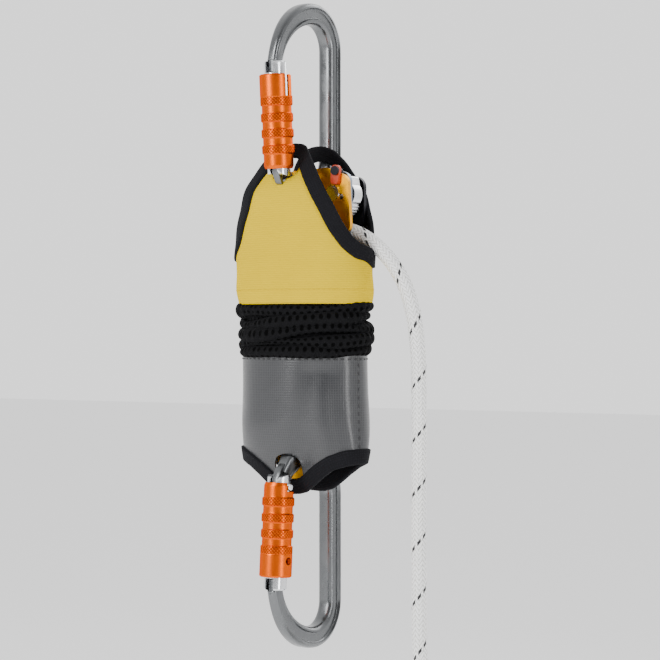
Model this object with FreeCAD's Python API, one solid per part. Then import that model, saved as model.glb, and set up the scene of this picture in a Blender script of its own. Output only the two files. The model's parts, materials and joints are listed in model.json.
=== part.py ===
"""Compact 4:1 textile-covered haul kit with progress capture, hung from its upper carabiner.

Frame: the origin is the bearing surface inside the top of the upper carabiner, +Z is up, the
front with both gates is -Y, and both carabiner rings lie in the plane X = 0.  Millimetres.
"""
import FreeCAD, Part
import math
import os

os.makedirs("parts", exist_ok=True)
V = FreeCAD.Vector

# ---- driving dimensions -------------------------------------------------------------------
ROPE_R = 4.0
KIT_SPAN = 320.6            # between the bearing surfaces of the two carabiners

BAR_DEPTH = 11.5            # carabiner bar, in the plane of the ring
BAR_THICK = 10.0            # carabiner bar, across the ring
SPINE_Y = 24.5
RING_LENGTH = 98.5          # centreline of the ring, end to end
SPINE_CORNER_R = 18.0
NOSE_BEND_R = 35.2
FLANGE = 2.8
GROOVE_DEEP = 1.2

GATE_LEAN = 4.0             # degrees, nose end outwards
GATE_R = 6.0
GATE_TIP = 53.7             # from the gate's rivet along the gate
TONGUE_HALF = 2.0
RIVET_R = 1.6
SLEEVE_R = 8.55
SLEEVE_GROOVE_R = 7.7
SLEEVE_BORE = 6.95
SLEEVE_RIM = 47.0
SLEEVE_END = -2.0
BAND_HEIGHT = 4.2
BAND_CENTRES = (7.9, 16.3, 24.5, 32.9)

PLATE = 2.5
OUTER_PLATE_Y = 13.6
INNER_PLATE_Y = 4.0
EYE_HOLE_R = 7.9
EYE_TO_AXLE = 31.0
SHEAVE_Y = 7.5
SHEAVE_WIDTH = 11.0
SHEAVE_R = 16.5
PITCH_R = 15.5
GROOVE_R = 4.3
AXLE_R = 4.0
BEARING_R = 6.2
RUNNING_GAP = 0.05

CAM_PIVOT = (22.0, -91.0)
CAM_PIN_R = 2.5
CATCH_PIVOT = (25.0, -79.5)

FABRIC = 1.5
BINDING_WIDTH = 7.0

HANK_X = 66.0
HANK_TOP = -366.0
HANK_BOTTOM = -542.0
ROPE_END = (91.0, 25.0, -529.0)

# ---- places worked out from them ----------------------------------------------------------
TOP_Z = BAR_DEPTH / 2                           # centreline at the nose end of the ring
EYE_Z = TOP_Z - RING_LENGTH                     # centreline at the hinge end of the ring
HINGE_BEND_Z = EYE_Z + SPINE_Y
RIVET = V(0, -SPINE_Y, -76.5)
UPPER_AXLE_Z = EYE_Z - EYE_TO_AXLE
LOWER_AXLE_Z = -KIT_SPAN - UPPER_AXLE_Z


def save(node, shape):
    shape.exportStep("parts/%s.step" % node)


def turned_over(shape):
    """The same piece on the lower carabiner or block: half a turn about Y."""
    result = shape.copy()
    result.rotate(V(0, 0, 0), V(0, 1, 0), 180)
    result.translate(V(0, 0, -KIT_SPAN))
    return result


# ---- outlines and paths -------------------------------------------------------------------
def corner(before, at, after, radius):
    """Tangent points and middle point of the arc that rounds one corner."""
    u = (before - at).normalize()
    v = (after - at).normalize()
    half = u.getAngle(v) / 2
    reach = radius / math.tan(half)
    middle = at + (u + v).normalize() * (radius / math.sin(half) - radius)
    return at + u * reach, middle, at + v * reach


def rounded_wire(points, radii, closed):
    """Straight runs through the points, joined by tangent arcs."""
    count = len(points)
    corners = []
    for index, (point, radius) in enumerate(zip(points, radii)):
        is_end = not closed and index in (0, count - 1)
        if is_end or radius == 0:
            corners.append((point, None, point))
        else:
            corners.append(corner(points[index - 1], point, points[(index + 1) % count], radius))
    edges = []
    for index, (start, middle, end) in enumerate(corners):
        if middle is not None:
            edges.append(Part.Arc(start, middle, end).toShape())
        if index + 1 < count or closed:
            following = corners[(index + 1) % count][0]
            if (following - end).Length > 1e-6:
                edges.append(Part.LineSegment(end, following).toShape())
    return Part.Wire(edges)


def slab(outline, y_low, thickness):
    """A plate square to Y. The outline is a list of (x, z, corner radius)."""
    points = [V(x, y_low, z) for x, z, _ in outline]
    wire = rounded_wire(points, [r for _, _, r in outline], True)
    return Part.Face(wire).extrude(V(0, thickness, 0))


def cylinder_y(radius, x, z, y_low, y_high):
    return Part.makeCylinder(radius, y_high - y_low, V(x, y_low, z), V(0, 1, 0))


def rod(radius, start, end):
    return Part.makeCylinder(radius, (end - start).Length, start, end - start)


def box(low, high):
    return Part.makeBox(*[b - a for a, b in zip(low, high)], V(*low))


def sweep(profile, path):
    maker = Part.BRepOffsetAPI.MakePipeShell(path)
    maker.add(profile)
    maker.build()
    maker.makeSolid()
    return maker.shape()


def rope_tube(points, radii=None):
    """A rope along straight runs and tangent arcs, each as large as its runs allow."""
    if radii is None:
        radii = [0]
        for before, at, after in zip(points, points[1:], points[2:]):
            half_turn = (at - before).getAngle(after - at) / 2
            shorter = min((at - before).Length, (after - at).Length)
            radii.append(0.45 * shorter / math.tan(half_turn))
        radii.append(0)
        print("rope radii, in rope diameters:",
              [round(r / (2 * ROPE_R), 1) for r in radii[1:-1]])
    path = rounded_wire(points, radii, False)
    circle = Part.Wire(Part.makeCircle(ROPE_R, points[0], points[1] - points[0]))
    tube = sweep(circle, path)
    expected = math.pi * ROPE_R ** 2 * path.Length
    print("rope tube length %.1f, volume / expected %.4f" % (path.Length, tube.Volume / expected))
    return tube


def coil_spring(radius, wire_r, low, high, turns):
    """Open coil about Z."""
    helix = Part.makeHelix((high - low - 2 * wire_r) / turns, high - low - 2 * wire_r, radius)
    helix.translate(V(0, 0, low + wire_r))
    circle = Part.Wire(Part.makeCircle(wire_r, V(radius, 0, low + wire_r), V(0, 1, 0)))
    return sweep(circle, Part.Wire(helix.Edges))


# ---- carabiner ----------------------------------------------------------------------------
def on_gate(shape):
    """Move a piece made about Z, with the gate's rivet at the origin, to its leaning gate."""
    result = shape.copy()
    result.rotate(V(0, 0, 0), V(1, 0, 0), GATE_LEAN)
    result.translate(RIVET)
    return result


def bar_section(y_centre, z):
    """Rounded bar with a groove along each side, square to Z."""
    d, t = BAR_DEPTH / 2, BAR_THICK / 2
    web, floor, blend = d - FLANGE, t - GROOVE_DEEP, 1.0
    half = [(0, d, 0), (t, d, 2.3), (t, web, 0.4), (floor, web - blend, 0.5),
            (floor, blend - web, 0.5), (t, -web, 0.4), (t, -d, 2.3), (0, -d, 0)]
    outline = half[:-1] + [(-x, y, r) for x, y, r in reversed(half[1:])]
    points = [V(x, y_centre + y, z) for x, y, _ in outline]
    return rounded_wire(points, [r for _, _, r in outline], True)


def carabiner_frame():
    """Forged C from the hinge tang round the spine to the nose tongue."""
    across = V(1, 0, 0)
    spine_corner = V(0, SPINE_Y - SPINE_CORNER_R, TOP_Z - SPINE_CORNER_R)
    nose_bend = V(0, spine_corner.y, TOP_Z - NOSE_BEND_R)
    hinge_bend = V(0, 0, HINGE_BEND_Z)
    low_section = Part.Face(bar_section(SPINE_Y, HINGE_BEND_Z))
    high_section = Part.Face(bar_section(SPINE_Y, spine_corner.z))
    apex_section = high_section.copy().rotate(spine_corner, across, 90)
    body = low_section.extrude(V(0, 0, spine_corner.z - HINGE_BEND_Z))
    for bend in (low_section.revolve(hinge_bend, -across, 140),
                 high_section.revolve(spine_corner, across, 90),
                 apex_section.revolve(nose_bend, across, 84)):
        body = body.fuse(bend)
    below_nose = on_gate(box((-20, -20, 20), (20, 14, GATE_TIP + 0.9)))
    body = body.cut(below_nose)
    tongue = on_gate(Part.makeCylinder(5.4, 9, V(0, 0, GATE_TIP - 5.5)).common(
        box((-TONGUE_HALF, -6, 0), (TONGUE_HALF, 6, 70))))
    tang_outline = [(-29, -72.2, 4), (-20.6, -72.2, 4), (-20.6, -78.6, 1), (-17.9, -83.6, 0.5),
                    (-19, -90, 1), (-25.5, -86, 1), (-29, -80, 3)]
    tang_wire = rounded_wire([V(-TONGUE_HALF, y, z) for y, z, _ in tang_outline],
                             [r for _, _, r in tang_outline], True)
    tang = Part.Face(tang_wire).extrude(V(2 * TONGUE_HALF, 0, 0))
    hole = Part.makeCylinder(RIVET_R, 30, RIVET - V(15, 0, 0), V(1, 0, 0))
    return body.fuse(tongue).fuse(tang).cut(hole).removeSplitter()


def gate_rivet():
    shank = Part.makeCylinder(RIVET_R, 12.6, V(-6.0, 0, 0), V(1, 0, 0))
    head = Part.makeCylinder(2.0, 1.9, V(-7.9, 0, 0), V(1, 0, 0))
    head = head.makeFillet(0.9, [min(head.Edges, key=lambda e: e.CenterOfMass.x)])
    return on_gate(shank.fuse(head))


def gate():
    """Round bar, forked over the nose tongue and over the hinge tang, bored for its spring."""
    bar = Part.makeCylinder(GATE_R, GATE_TIP + 6.2, V(0, 0, -6.2))
    bar = bar.makeChamfer(0.8, [max(bar.Edges, key=lambda e: e.CenterOfMass.z)])
    hinge_end = Part.makeCylinder(GATE_R, 20, V(-10, 0, 0), V(1, 0, 0))
    bar = bar.common(hinge_end.fuse(box((-10, -10, 0), (10, 10, 70))))
    collar = Part.makeCylinder(SLEEVE_BORE - 0.1, 1.0, V(0, 0, 34.2))
    gap = TONGUE_HALF + 0.4
    nose_slot = box((-gap, -10, 47.6), (gap, 10, 60))
    hinge_slot = box((-gap, -10, -10), (gap, 10, 6.6))
    bore = Part.makeCylinder(2.6, 26, V(0, 0, 6))
    rivet_hole = Part.makeCylinder(RIVET_R + RUNNING_GAP, 30, V(-15, 0, 0), V(1, 0, 0))
    return on_gate(bar.fuse(collar).cut(nose_slot).cut(hinge_slot).cut(bore).cut(rivet_hole))


def sector(radius, low, high, centre_angle, half_angle):
    """A wedge about Z used to cut a window."""
    return Part.makeCylinder(radius, high - low, V(0, 0, low), V(0, 0, 1),
                             2 * half_angle).rotate(V(0, 0, 0), V(0, 0, 1),
                                                    centre_angle - half_angle)


def lock_sleeve():
    """Knurled locking sleeve: four bands, a nose window, a round hole and a hinge relief."""
    body = Part.makeCylinder(SLEEVE_GROOVE_R, SLEEVE_RIM - SLEEVE_END, V(0, 0, SLEEVE_END))
    for centre in BAND_CENTRES:
        band = Part.makeCylinder(SLEEVE_R, BAND_HEIGHT, V(0, 0, centre - BAND_HEIGHT / 2))
        body = body.fuse(band)
    rim_start = BAND_CENTRES[-1] + BAND_HEIGHT / 2
    rim = Part.makeCylinder(SLEEVE_R, SLEEVE_RIM - rim_start, V(0, 0, rim_start))
    rim = rim.makeFillet(0.8, [max(rim.Edges, key=lambda e: e.CenterOfMass.z)])
    body = body.fuse(rim)
    taper = Part.makeCone(7.2, 11.7, 8, V(0, 0, SLEEVE_END))
    body = body.common(taper.fuse(Part.makeCylinder(12, 60, V(0, 0, SLEEVE_END + 8))))
    body = body.cut(Part.makeCylinder(SLEEVE_BORE, 80, V(0, 0, -20)))
    body = body.cut(sector(12, 35.5, 60, 16, 35))
    body = body.cut(sector(12, -10, 2.6, 137, 63))
    hole = Part.makeCylinder(2.0, 20, V(0, 0, 38.4), V(-1, -0.09, 0))
    return on_gate(body.cut(hole))


def carabiner_pieces():
    plunger = Part.makeCylinder(2.4, 7.0, V(0, 0, 5.2))
    bush = Part.makeCylinder(SLEEVE_BORE - RUNNING_GAP, 14, V(0, 0, 4)).cut(
        Part.makeCylinder(GATE_R + RUNNING_GAP, 40))
    return {
        "carabiner_frame": carabiner_frame(),
        "gate_rivet": gate_rivet(),
        "gate": gate(),
        "gate_plunger": on_gate(plunger),
        "gate_spring": on_gate(coil_spring(2.0, 0.3, 12.4, 31.8, 7)),
        "lock_bush": on_gate(bush),
        "lock_spring": on_gate(coil_spring(6.5, 0.3, 21.4, 34.1, 4)),
        "lock_sleeve": lock_sleeve(),
    }


# ---- pulley blocks ------------------------------------------------------------------------
def joggle(side, half_width):
    """The sloping web that joins a plate's outer and inner planes."""
    inner, outer = INNER_PLATE_Y, OUTER_PLATE_Y
    section = [(inner, -100.4), (inner, -102.4), (outer, -105.8), (outer, -108),
               (outer + PLATE, -108), (outer + PLATE, -104.2), (inner + PLATE, -100.4)]
    points = [V(-half_width, side * y, z) for y, z in section]
    face = Part.Face(Part.makePolygon(points + points[:1]))
    return face.extrude(V(2 * half_width, 0, 0))


def plate_low_y(side, inner_face):
    return inner_face if side > 0 else -inner_face - PLATE


def bored(plate, holes):
    for x, z, radius in holes:
        plate = plate.cut(cylinder_y(radius, x, z, -30, 30))
    return plate


SHEAVE_CHEEK = [(-23, -106, 4), (23, -106, 4), (23, -146.5, 21), (-23, -146.5, 21)]
PLAIN_TAB = [(-13, -102.4, 0), (-13, -79, 11), (13, -79, 11), (13, -102.4, 0)]


def side_plate(side, tab=PLAIN_TAB, extra=None, extra_holes=()):
    """Cheek beside the sheave, bent in to an eye for the carabiner."""
    cheek = slab(SHEAVE_CHEEK, plate_low_y(side, OUTER_PLATE_Y), PLATE)
    eye = slab(tab, plate_low_y(side, INNER_PLATE_Y), PLATE)
    plate = cheek.fuse(joggle(side, 13)).fuse(eye)
    if extra is not None:
        plate = plate.fuse(extra)
    holes = [(0, EYE_Z, EYE_HOLE_R), (0, UPPER_AXLE_Z, AXLE_R)] + list(extra_holes)
    return bored(plate, holes).removeSplitter()


def centre_plate(outline, holes=()):
    plate = slab(outline, -PLATE / 2, PLATE)
    return bored(plate, [(0, EYE_Z, EYE_HOLE_R), (0, UPPER_AXLE_Z, AXLE_R)] + list(holes))


def sheave(y):
    """Grooved wheel about the upper axle."""
    half = SHEAVE_WIDTH / 2
    lip = math.sqrt(GROOVE_R ** 2 - (SHEAVE_R - PITCH_R) ** 2)

    def at(radius, offset):
        return V(radius, y + offset, UPPER_AXLE_Z)

    groove = Part.Arc(at(SHEAVE_R, -lip), at(PITCH_R - GROOVE_R, 0), at(SHEAVE_R, lip)).toShape()
    rest = Part.makePolygon([at(SHEAVE_R, lip), at(SHEAVE_R, half), at(BEARING_R, half),
                             at(BEARING_R, -half), at(SHEAVE_R, -half), at(SHEAVE_R, -lip)])
    face = Part.Face(Part.Wire([groove] + rest.Edges))
    return face.revolve(V(0, 0, UPPER_AXLE_Z), V(0, 1, 0), 360)


def bearing(y):
    outer = cylinder_y(BEARING_R, 0, UPPER_AXLE_Z, y - SHEAVE_WIDTH / 2, y + SHEAVE_WIDTH / 2)
    return outer.cut(cylinder_y(AXLE_R + RUNNING_GAP, 0, UPPER_AXLE_Z, -30, 30))


def axle():
    face = OUTER_PLATE_Y + PLATE
    shank = cylinder_y(AXLE_R, 0, UPPER_AXLE_Z, -face, face + 2.4)
    head = cylinder_y(6.5, 0, UPPER_AXLE_Z, -face - 2, -face)
    head = head.makeFillet(1.0, [min(head.Edges, key=lambda e: e.CenterOfMass.y)])
    return shank.fuse(head)


def axle_nut():
    face = OUTER_PLATE_Y + PLATE
    points = [V(7 * math.cos(math.radians(a)), face, UPPER_AXLE_Z + 7 * math.sin(math.radians(a)))
              for a in range(0, 361, 60)]
    nut = Part.Face(Part.makePolygon(points)).extrude(V(0, 2.4, 0))
    return nut.cut(cylinder_y(AXLE_R, 0, UPPER_AXLE_Z, 0, 30))


def block_pieces():
    """The pieces that both blocks share, at the upper block."""
    return {
        "axle": axle(),
        "axle_nut": axle_nut(),
        "front_sheave": sheave(-SHEAVE_Y),
        "rear_sheave": sheave(SHEAVE_Y),
        "front_bearing": bearing(-SHEAVE_Y),
        "rear_bearing": bearing(SHEAVE_Y),
    }


# ---- progress-capture cam -----------------------------------------------------------------
def cam():
    """Eccentric toothed cam above the rope where it leaves the rear sheave."""
    x, z = CAM_PIVOT
    y_low, y_high = 3.0, 10.5
    hub = cylinder_y(7.4, x, z, y_low, y_high)
    toe_x, toe_z, toe_r = x - 1.5, z - 5.6, 6.8
    toe = cylinder_y(toe_r, toe_x, toe_z, y_low, y_high)
    flank = slab([(x - 7.2, z, 0), (x + 7.2, z, 0), (toe_x + 6.6, toe_z, 0),
                  (toe_x - 6.6, toe_z, 0)], y_low, y_high - y_low)
    tail = slab([(x - 2, z + 5, 1), (x + 6, z + 4, 1), (x + 5, z + 9.5, 1.2),
                 (x + 1, z + 9.5, 1.2)], y_low, y_high - y_low)
    body = hub.fuse(toe).fuse(flank).fuse(tail)
    for angle in range(-140, 1, 14):
        a = math.radians(angle)
        body = body.cut(cylinder_y(0.75, toe_x + (toe_r + 0.25) * math.cos(a),
                                   toe_z + (toe_r + 0.25) * math.sin(a), y_low - 1, y_high + 1))
    return body.cut(cylinder_y(CAM_PIN_R + RUNNING_GAP, x, z, 0, 20)).removeSplitter()


def cam_pieces():
    x, z = CAM_PIVOT
    pin = cylinder_y(CAM_PIN_R, x, z, -INNER_PLATE_Y - PLATE, OUTER_PLATE_Y + PLATE)
    pin = pin.fuse(cylinder_y(4.0, x, z, -INNER_PLATE_Y - PLATE - 1.2, -INNER_PLATE_Y - PLATE))
    pin = pin.fuse(cylinder_y(4.0, x, z, OUTER_PLATE_Y + PLATE, OUTER_PLATE_Y + PLATE + 1.0))
    spring = coil_spring(3.5, 0.35, 0, 2.6, 3)
    spring.rotate(V(0, 0, 0), V(1, 0, 0), -90)
    spring.translate(V(x, 10.8, z))
    catch_x, catch_z = CATCH_PIVOT
    face = -INNER_PLATE_Y - PLATE - 0.15
    lever = slab([(catch_x - 2.6, catch_z + 3, 2.2), (catch_x + 2.6, catch_z + 3, 2.2),
                  (catch_x + 1.2, catch_z - 7.0, 1.6), (catch_x - 3.4, catch_z - 7.0, 1.6)],
                 face - 2.2, 2.2)
    lever = lever.cut(cylinder_y(1.5 + RUNNING_GAP, catch_x, catch_z, -20, 0))
    catch_pin = cylinder_y(1.5, catch_x, catch_z, face - 2.35, -INNER_PLATE_Y)
    catch_pin = catch_pin.fuse(cylinder_y(2.4, catch_x, catch_z, face - 3.4, face - 2.35))
    return {"cam": cam(), "cam_pin": pin, "cam_spring": spring,
            "cam_catch": lever, "cam_catch_pin": catch_pin}


# ---- rope ---------------------------------------------------------------------------------
def wrap(y, axle_z, first, last):
    """Rope on a sheave, from the first to the last angle, counted from +X towards +Z."""
    start = V(PITCH_R * math.cos(math.radians(first)), y,
              axle_z + PITCH_R * math.sin(math.radians(first)))
    along = V(-math.sin(math.radians(first)), 0, math.cos(math.radians(first)))
    face = Part.Face(Part.Wire(Part.makeCircle(ROPE_R, start, along)))
    return face.revolve(V(0, y, axle_z), V(0, -1, 0), last - first)


def rope_pieces():
    """The reeving: becket, lower front, upper front, lower rear, upper rear, then out."""
    eye_z = -150.0
    eye = Part.makeTorus(5.4, 3.1, V(0, 0, eye_z), V(1, 0, 0))
    neck = V(0, 0, eye_z - 8.6)
    bend = V(1.5, -SHEAVE_Y, -171.5)
    to_axle = V(-bend.x, 0, LOWER_AXLE_Z - bend.z)
    bearing_angle = math.degrees(math.atan2(-to_axle.z, -to_axle.x))
    first_touch = bearing_angle - math.degrees(math.acos(PITCH_R / to_axle.Length))
    touch = V(PITCH_R * math.cos(math.radians(first_touch)), -SHEAVE_Y,
              LOWER_AXLE_Z + PITCH_R * math.sin(math.radians(first_touch)))
    lean = (bend - neck).normalize()
    splice_end = neck + lean * 12.5
    splice = Part.makeCone(4.6, 5.0, 12.5, neck, lean).cut(eye)
    step = 7.8
    left, right = -PITCH_R, PITCH_R
    strands = [
        rope_tube([splice_end, bend, touch], [0, 8, 0]),
        rod(ROPE_R, V(left, -SHEAVE_Y, UPPER_AXLE_Z), V(left, -SHEAVE_Y, LOWER_AXLE_Z)),
        rope_tube([V(right, -SHEAVE_Y, UPPER_AXLE_Z), V(right, -SHEAVE_Y, UPPER_AXLE_Z - step),
                   V(right, SHEAVE_Y, LOWER_AXLE_Z + step), V(right, SHEAVE_Y, LOWER_AXLE_Z)],
                  [0, 8, 8, 0]),
        rod(ROPE_R, V(left, SHEAVE_Y, UPPER_AXLE_Z), V(left, SHEAVE_Y, LOWER_AXLE_Z)),
    ]
    return {
        "rope_eye": eye,
        "rope_eye_splice": splice,
        "rope_strands": Part.makeCompound(strands),
        "upper_rope_wraps": Part.makeCompound([wrap(-SHEAVE_Y, UPPER_AXLE_Z, 0, 180),
                                               wrap(SHEAVE_Y, UPPER_AXLE_Z, 90, 180)]),
        "lower_rope_wraps": Part.makeCompound([
            wrap(-SHEAVE_Y, LOWER_AXLE_Z, -180, first_touch),
            wrap(SHEAVE_Y, LOWER_AXLE_Z, -180, 0)]),
    }


# The free rope, from the top of the upper rear sheave, out under the cam and down to the hank.
TAIL_ROUTE = [
    V(0, 7.5, UPPER_AXLE_Z + PITCH_R), V(19, 7.5, -108.3), V(33, 7.5, -113.2),
    V(46, 7.5, -122.8), V(57, 7.5, -137), V(63.2, 7.5, -155), V(65.8, 7.5, -178),
    V(66, 7.5, -212), V(65.6, 7.4, -262), V(66.0, 7.9, -310), V(67.5, 7.5, HANK_TOP),
]


def hank_pieces():
    """Stored rope folded into a hanging hank, its tie and the sewn end below it."""
    half_x, half_y, centre_y, bend = 24.0, 37.5, 7.5, 34.0
    outline = [V(HANK_X - half_x, centre_y + side * half_y, z) for side, z in
               ((-1, HANK_TOP), (1, HANK_TOP), (1, HANK_BOTTOM), (-1, HANK_BOTTOM))]
    body = Part.Face(rounded_wire(outline, [bend] * 4, True)).extrude(V(2 * half_x, 0, 0))
    middle = (HANK_TOP + HANK_BOTTOM) / 2
    tie_half, tie = 10.0, 2.0

    def block(grow):
        return box((HANK_X - half_x - grow, centre_y - half_y - grow, middle - tie_half),
                   (HANK_X + half_x + grow, centre_y + half_y + grow, middle + tie_half))

    end = rod(ROPE_R + 0.7, V(*ROPE_END), V(*ROPE_END) - V(0, 0, 28))
    return {"rope_tail": rope_tube(TAIL_ROUTE), "rope_hank": body.cut(end),
            "hank_tie": block(tie).cut(block(0)), "rope_end": end}


# ---- fabric covers ------------------------------------------------------------------------
def elliptic_tube(sections, wall):
    """A hollow elliptic tube through (z, half width in X, half width in Y)."""
    def loft(shrink, grow):
        wires = []
        for index, (z, a, b) in enumerate(sections):
            shift = grow if index == 0 else -grow if index == len(sections) - 1 else 0
            curve = Part.Ellipse(V(0, 0, z + shift), a - shrink, b - shrink)
            wires.append(Part.Wire(curve.toShape()))
        return Part.makeLoft(wires, True)
    return loft(0, 0).cut(loft(wall, 0.2))


def cloth_outline(points):
    """Prism through the tube, seen from the front, mirrored left to right."""
    loop = points + [(-x, z) for x, z in reversed(points)]
    return Part.Face(Part.makePolygon([V(x, -60, z) for x, z in loop + loop[:1]]))


def cover_and_binding(tube, points, z_low, z_high, slots):
    """Cut a cover and its edge binding from one tube."""
    face = cloth_outline(points)
    inset = face.makeOffset2D(-BINDING_WIDTH)
    through = V(0, 120, 0)
    limits = box((-60, -60, z_low), (60, 60, z_high))
    tube = tube.common(limits)
    for low, high in slots:
        tube = tube.cut(box(low, high))
    cover = tube.common(inset.extrude(through))
    binding = tube.common(face.extrude(through)).cut(inset.extrude(through))
    return cover, binding


UPPER_COVER = [(-63.5, 27, 11), (-88, 37.5, 24.5), (-118, 40, 25), (-148, 40, 25)]
UPPER_OUTLINE = [(9, -64.5), (20, -75), (30.5, -96), (34, -114), (46, -136), (46, -175)]
LOWER_COVER = [(-174.8, 36.5, 25), (-205, 36.5, 24.5), (-220, 36.5, 21), (-230, 36, 17.5),
               (-249, 34, 13)]
LOWER_OUTLINE = [(46, -150), (46, -226), (13, -248)]
MESH_COVER = [(-148.2, 39.5, 25.5), (-162, 40.5, 26.5), (-174.6, 39, 26)]
SLOT_HALF = 11.0


def kept_clear():
    """The room that the cloth leaves for the swinging gate, the free rope and the cam's plate."""
    solids = []
    for angle in (0, 6, 12, 18, 24):
        lock = Part.makeCylinder(SLEEVE_R + 0.4, SLEEVE_RIM + 3.4, V(0, 0, SLEEVE_END - 0.4))
        end = Part.makeCylinder(7.6, 8, V(0, 0, -6.5))
        for piece in (lock, end):
            piece = on_gate(piece)
            piece.rotate(RIVET, V(1, 0, 0), -angle)
            for swing in (0,) if angle < 15 else (-5, 0, 5):
                swung = piece.copy()
                swung.rotate(V(0, 0, EYE_Z), V(0, 1, 0), swing)
                solids.append(swung)
    for start, stop in zip(TAIL_ROUTE[:6], TAIL_ROUTE[1:7]):
        solids.append(rod(ROPE_R + 1.4, start, stop))
        solids.append(Part.makeSphere(ROPE_R + 1.4, stop))
    x, z = CAM_PIVOT
    solids.append(cylinder_y(4.4, x, z, 0, 30))
    solids.append(box((10, 0, -124), (28.9, OUTER_PLATE_Y + PLATE + 0.4, -80.6)))
    return solids


def cover_pieces():
    upper_slots = [((-SLOT_HALF, -40, -89.5), (SLOT_HALF, 0, -67.5)),
                   ((-SLOT_HALF, 0, -89.5), (SLOT_HALF, 40, -67.5))]
    upper = cover_and_binding(elliptic_tube(UPPER_COVER, FABRIC), UPPER_OUTLINE,
                              -148, -64, upper_slots)
    lower_slots = [((-SLOT_HALF, -40, -250), (SLOT_HALF, 0, -224.5)),
                   ((-SLOT_HALF, 0, -250), (SLOT_HALF, 40, -224.5))]
    lower = cover_and_binding(elliptic_tube(LOWER_COVER, FABRIC), LOWER_OUTLINE,
                              -249, -174.8, lower_slots)
    room = kept_clear()
    gate_room = [turned_over(solid) for solid in room[:18]]
    return {"upper_cover": upper[0].cut(room), "upper_cover_binding": upper[1].cut(room),
            "lower_cover": lower[0].cut(gate_room),
            "lower_cover_binding": lower[1].cut(gate_room),
            "gathered_mesh": elliptic_tube(MESH_COVER, FABRIC)}


# ---- all pieces ---------------------------------------------------------------------------
def upper_plates():
    """Gold front plate, steel-grey centre plate and rear plate, all reaching to the cam."""
    front_tab = [(-13, -102.4, 0), (-13, -79, 11), (18, -77.5, 5), (31, -82.5, 5),
                 (32.8, -112, 4), (25.5, -112, 3), (15.5, -102.4, 2)]
    cam_pin_hole = CAM_PIVOT + (CAM_PIN_R,)
    catch_hole = CATCH_PIVOT + (1.5,)
    cam_window = (26.5, -93.0, 1.8)
    cam_cheek = slab([(14, -108, 0), (14, -81, 4), (28.5, -81, 6), (28.5, -108, 3)],
                     OUTER_PLATE_Y, PLATE)
    cam_ear = slab([(12, -100.4, 0), (12, -108, 0), (16, -108, 0), (16, -100.4, 0)],
                   OUTER_PLATE_Y, PLATE)
    centre = [(-13, -79, 11), (18, -77.0, 5), (29, -81, 5), (29, -110, 5), (20, -124, 6),
              (9.5, -133, 4), (8, -151.6, 5), (-8, -151.6, 5), (-9.5, -133, 4), (-20, -124, 6),
              (-13, -104, 8)]
    becket_hole = (0, -144.6, 4.2)
    return {
        "upper_front_plate": side_plate(-1, front_tab,
                                        extra_holes=(cam_pin_hole, catch_hole, cam_window)),
        "upper_centre_plate": centre_plate(centre, (cam_pin_hole, becket_hole)),
        "upper_rear_plate": side_plate(1, extra=cam_cheek.fuse(cam_ear),
                                       extra_holes=(cam_pin_hole,)),
    }


def lower_plates():
    centre = [(-13, -79, 11), (13, -79, 11), (13, -104, 8), (20, -122, 8), (9, -134, 5),
              (7, -145, 5), (-7, -145, 5), (-9, -134, 5), (-20, -122, 8), (-13, -104, 8)]
    return {"lower_front_plate": turned_over(side_plate(-1)),
            "lower_centre_plate": turned_over(centre_plate(centre)),
            "lower_rear_plate": turned_over(side_plate(1))}


def main():
    pieces = {}
    for name, shape in list(carabiner_pieces().items()) + list(block_pieces().items()):
        pieces["upper_" + name] = shape
        pieces["lower_" + name] = turned_over(shape)
    for group in (upper_plates(), lower_plates(), cam_pieces(), rope_pieces(), hank_pieces(),
                  cover_pieces()):
        pieces.update(group)
    for name, shape in sorted(pieces.items()):
        bounds = shape.BoundBox
        print("%-24s solids %d valid %s volume %9.1f  z %.1f..%.1f" % (
            name, len(shape.Solids), shape.isValid(), shape.Volume, bounds.ZMin, bounds.ZMax))
        save(name, shape)
    print(len(pieces), "nodes")


main()
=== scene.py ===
import bpy
import bmesh
import json
import math
import numpy as np
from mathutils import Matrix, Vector


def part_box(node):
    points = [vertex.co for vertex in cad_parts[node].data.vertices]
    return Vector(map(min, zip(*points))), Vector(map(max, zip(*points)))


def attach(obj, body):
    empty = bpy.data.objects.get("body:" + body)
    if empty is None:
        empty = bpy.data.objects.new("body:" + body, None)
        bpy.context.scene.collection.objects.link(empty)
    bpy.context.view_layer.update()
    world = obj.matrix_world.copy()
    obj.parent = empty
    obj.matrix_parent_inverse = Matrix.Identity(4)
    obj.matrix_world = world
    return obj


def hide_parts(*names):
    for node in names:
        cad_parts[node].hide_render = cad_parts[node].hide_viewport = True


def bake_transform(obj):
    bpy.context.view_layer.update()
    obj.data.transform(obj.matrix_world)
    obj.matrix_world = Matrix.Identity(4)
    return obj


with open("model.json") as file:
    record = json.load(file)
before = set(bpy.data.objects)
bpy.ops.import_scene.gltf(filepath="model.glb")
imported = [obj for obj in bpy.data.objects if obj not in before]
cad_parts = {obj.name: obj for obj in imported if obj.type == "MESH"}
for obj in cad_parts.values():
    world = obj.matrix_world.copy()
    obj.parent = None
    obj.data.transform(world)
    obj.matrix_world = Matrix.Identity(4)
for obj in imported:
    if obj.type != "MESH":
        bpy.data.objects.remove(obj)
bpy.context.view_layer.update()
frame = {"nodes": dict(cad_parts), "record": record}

MM = 0.001
ROPE_R = 4.0
KIT_SPAN = 320.6            # between the two carabiners' bearing surfaces
VIEW_AZIMUTH = math.radians(33)


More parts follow.
